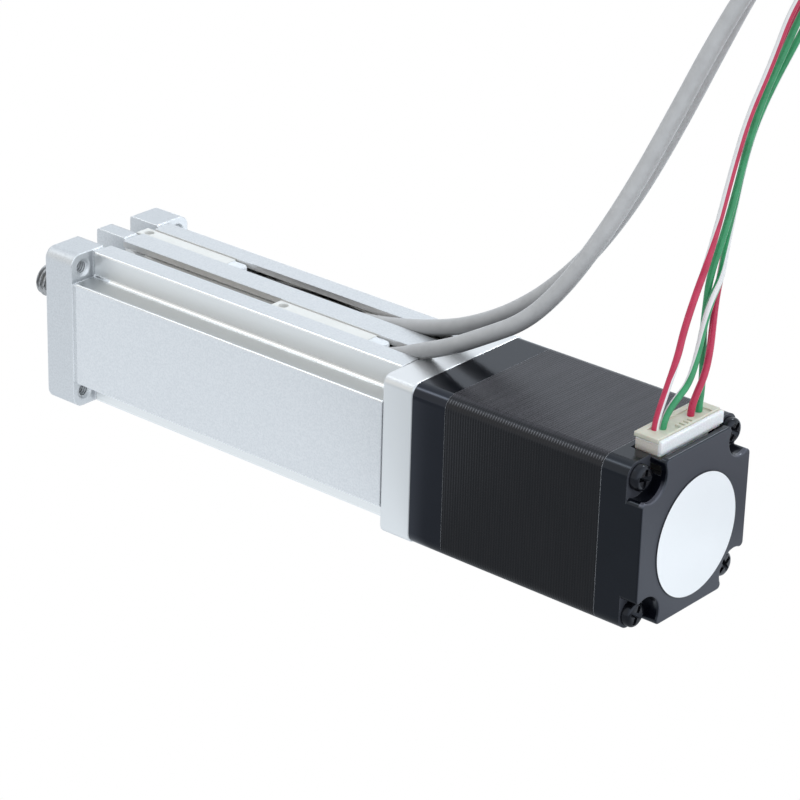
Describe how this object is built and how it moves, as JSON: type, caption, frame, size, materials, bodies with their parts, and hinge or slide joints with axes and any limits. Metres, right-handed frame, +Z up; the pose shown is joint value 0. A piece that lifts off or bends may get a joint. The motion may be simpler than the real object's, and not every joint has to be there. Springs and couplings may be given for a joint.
{
  "type": "electric cylinder",
  "caption": "Slim electric cylinder: square tube with a threaded rod end, lead screw inside, square stepping motor behind and two position switches in top grooves.",
  "frame": {"origin": "centre of the front flange's front face, on the rod axis", "axes": "+X along the rod, out of the front flange; +Z up, towards the switch grooves; +Y completes the frame"},
  "size_m": [0.1859, 0.0668, 0.1055],
  "materials": {
    "anodised": "matt silver anodised",
    "tube_alloy": "matt silver anodised, drawn along its length",
    "motor_bell": "smooth black coating, satin",
    "laminations": "black coated steel laminations",
    "steel": "ground and turned steel",
    "black_steel": "black oxide",
    "stainless": "stainless",
    "copper": "enamelled copper wire",
    "magnet": "sintered magnet, dull",
    "bronze": "plain bushing bronze",
    "white_plastic": "cream white moulding",
    "cream_plastic": "cream moulding",
    "clear_boot": "milky clear sleeve",
    "board": "circuit board",
    "nut_plastic": "plain bearing plastic",
    "black_plastic": "dark plain bearing plastic",
    "rubber": "black rubber",
    "label": "plain white film",
    "tin": "tinned contact",
    "cable": "light grey jacket",
    "wire_red": "red insulation",
    "wire_red_white": "red insulation with a white stripe",
    "wire_green": "green insulation",
    "wire_green_white": "green insulation with a white stripe",
    "wires": "bundle of coloured insulated wires"
  },
  "bodies": {
    "housing": {"front_flange": "anodised", "rear_flange": "anodised", "tube": "tube_alloy", "rod_bushing": "bronze", "rod_seal": "rubber", "front_bumper": "rubber", "rear_bumper": "rubber", "front_flange_screws": "black_steel", "rear_flange_screws": "black_steel", "motor_mount_screws": "black_steel", "screw_bearing_outer": "steel", "preload_washer": "steel", "motor_front_bearing_outer": "steel", "motor_rear_bearing_outer": "steel", "motor_wave_washer": "steel", "motor_front_bell": "motor_bell", "motor_stack": "laminations", "motor_windings": "copper", "motor_rear_cover": "motor_bell", "motor_screws": "black_steel", "motor_label": "label", "connector_board": "board", "connector_header": "white_plastic", "connector_plug": "cream_plastic", "connector_contacts": "tin", "near_switch": "white_plastic", "near_switch_screw": "stainless", "near_switch_boot": "clear_boot", "far_switch": "white_plastic", "far_switch_screw": "stainless", "far_switch_boot": "clear_boot", "near_switch_cable": "cable", "far_switch_cable": "cable", "near_cable_coil": "cable", "far_cable_coil": "cable", "motor_wire_red": "wire_red", "motor_wire_red_white": "wire_red_white", "motor_wire_green": "wire_green", "motor_wire_green_white": "wire_green_white", "motor_wire_coil": "wires"},
    "rod": {"piston_rod": "stainless", "rod_end": "stainless", "piston": "anodised", "screw_nut": "nut_plastic", "position_magnet": "magnet", "wear_ring": "black_plastic", "piston_clip": "steel", "guide_key": "nut_plastic"},
    "screw": {"lead_screw": "steel", "screw_bearing_inner": "steel", "bearing_clip": "steel", "shaft_pin": "steel", "motor_shaft": "steel", "rotor_front_core": "laminations", "rotor_magnet": "magnet", "rotor_rear_core": "laminations", "motor_front_bearing_inner": "steel", "motor_rear_bearing_inner": "steel"}
  },
  "joints": [
    {"name": "rod_slide", "type": "slide", "parent": "housing", "child": "rod", "axis": [1, 0, 0], "range_m": [0, 0.04]},
    {"name": "screw_spin", "type": "hinge", "parent": "housing", "child": "screw", "pos_m": [-0.03, 0, 0], "axis": [1, 0, 0], "range_deg": [-1, 2881]}
  ],
  "couplings": [
    {"joint": "screw_spin", "follows": "rod_slide", "rad_per_m": 1256.6}
  ]
}
